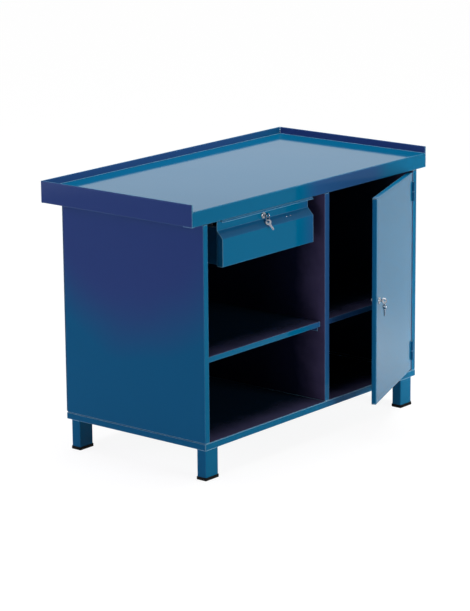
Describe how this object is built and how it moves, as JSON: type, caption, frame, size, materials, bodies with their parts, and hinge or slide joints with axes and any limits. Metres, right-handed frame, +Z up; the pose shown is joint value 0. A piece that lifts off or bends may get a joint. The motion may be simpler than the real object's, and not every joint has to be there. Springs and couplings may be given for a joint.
{
  "type": "workbench with cabinet",
  "caption": "Steel workbench with a rimmed tray worktop on a cabinet with a lockable drawer, open shelves and a hinged, lockable door.",
  "frame": {"origin": "on the floor below the middle of the worktop", "axes": "+X along the worktop to the right as seen from the front, +Y from front to back, +Z up"},
  "size_m": [1.2, 0.7983, 0.875],
  "materials": {
    "blue_paint": "gloss blue stove enamel on folded sheet steel",
    "black_plastic": "matt moulded foot caps",
    "nickel": "bright nickel plate on locks, keys and rings",
    "zinc_steel": "zinc plate on runners, nuts, cams and hinge pins"
  },
  "bodies": {
    "bench": {"worktop": "blue_paint", "worktop_stiffener_left": "blue_paint", "worktop_stiffener_right": "blue_paint", "left_side_panel": "blue_paint", "right_side_panel": "blue_paint", "back_panel": "blue_paint", "centre_divider": "blue_paint", "cabinet_floor": "blue_paint", "left_shelf": "blue_paint", "right_shelf": "blue_paint", "left_shelf_outer_angle": "blue_paint", "left_shelf_inner_angle": "blue_paint", "right_shelf_inner_angle": "blue_paint", "right_shelf_outer_angle": "blue_paint", "base_rail_front": "blue_paint", "base_rail_back": "blue_paint", "base_rail_left": "blue_paint", "base_rail_right": "blue_paint", "leg_front_left": "blue_paint", "leg_front_right": "blue_paint", "leg_back_left": "blue_paint", "leg_back_right": "blue_paint", "foot_cap_front_left": "black_plastic", "foot_cap_front_right": "black_plastic", "foot_cap_back_left": "black_plastic", "foot_cap_back_right": "black_plastic", "drawer_runner_left": "zinc_steel", "drawer_runner_right": "zinc_steel", "drawer_guide_left": "zinc_steel", "drawer_guide_right": "zinc_steel", "hinge_upper_frame_knuckle": "blue_paint", "hinge_upper_pin": "zinc_steel", "hinge_lower_frame_knuckle": "blue_paint", "hinge_lower_pin": "zinc_steel"},
    "drawer": {"drawer_front": "blue_paint", "drawer_box": "blue_paint", "drawer_lock_body": "nickel", "drawer_lock_nut": "zinc_steel"},
    "door": {"door_panel": "blue_paint", "door_stiffener": "blue_paint", "hinge_upper_door_knuckle": "blue_paint", "hinge_lower_door_knuckle": "blue_paint", "door_lock_body": "nickel", "door_lock_nut": "zinc_steel"},
    "drawer_lock_core": {"drawer_lock_plug": "nickel", "drawer_lock_cam": "zinc_steel", "drawer_key": "nickel"},
    "drawer_ring": {"drawer_key_ring": "nickel"},
    "drawer_spare": {"drawer_spare_key": "nickel"},
    "door_lock_core": {"door_lock_plug": "nickel", "door_lock_cam": "zinc_steel", "door_key": "nickel"},
    "door_ring": {"door_key_ring": "nickel"},
    "door_spare": {"door_spare_key": "nickel"}
  },
  "joints": [
    {"name": "door_swing", "type": "hinge", "parent": "bench", "child": "door", "pos_m": [0.5266, -0.311, 0.461], "axis": [0, 0, 1], "range_deg": [-21.3, 150]},
    {"name": "drawer_slide", "type": "slide", "parent": "bench", "child": "drawer", "axis": [0, -1, 0], "range_m": [0, 0.36]},
    {"name": "door_lock_turn", "type": "hinge", "parent": "door", "child": "door_lock_core", "pos_m": [0.13465, -0.46274, 0.462], "axis": [-0.3633, 0.9317, 0], "range_deg": [0, 90]},
    {"name": "door_ring_hang", "type": "hinge", "parent": "door_lock_core", "child": "door_ring", "pos_m": [0.14119, -0.47951, 0.45531], "axis": [-0.3633, 0.9317, 0], "range_deg": [-90, 0]},
    {"name": "door_spare_swing", "type": "hinge", "parent": "door_ring", "child": "door_spare", "pos_m": [0.14119, -0.47951, 0.44502], "axis": [-0.9317, -0.3633, 0], "range_deg": [-20, 50]},
    {"name": "drawer_lock_turn", "type": "hinge", "parent": "drawer", "child": "drawer_lock_core", "pos_m": [-0.2345, -0.288, 0.7795], "axis": [0, 1, 0], "range_deg": [0, 90]},
    {"name": "drawer_ring_hang", "type": "hinge", "parent": "drawer_lock_core", "child": "drawer_ring", "pos_m": [-0.2345, -0.306, 0.77281], "axis": [0, 1, 0], "range_deg": [-90, 0]},
    {"name": "drawer_spare_swing", "type": "hinge", "parent": "drawer_ring", "child": "drawer_spare", "pos_m": [-0.2345, -0.306, 0.76252], "axis": [-1, 0, 0], "range_deg": [0, 6]}
  ],
  "couplings": [
    {"joint": "door_ring_hang", "follows": "door_lock_turn", "ratio": -1},
    {"joint": "drawer_ring_hang", "follows": "drawer_lock_turn", "ratio": -1}
  ]
}
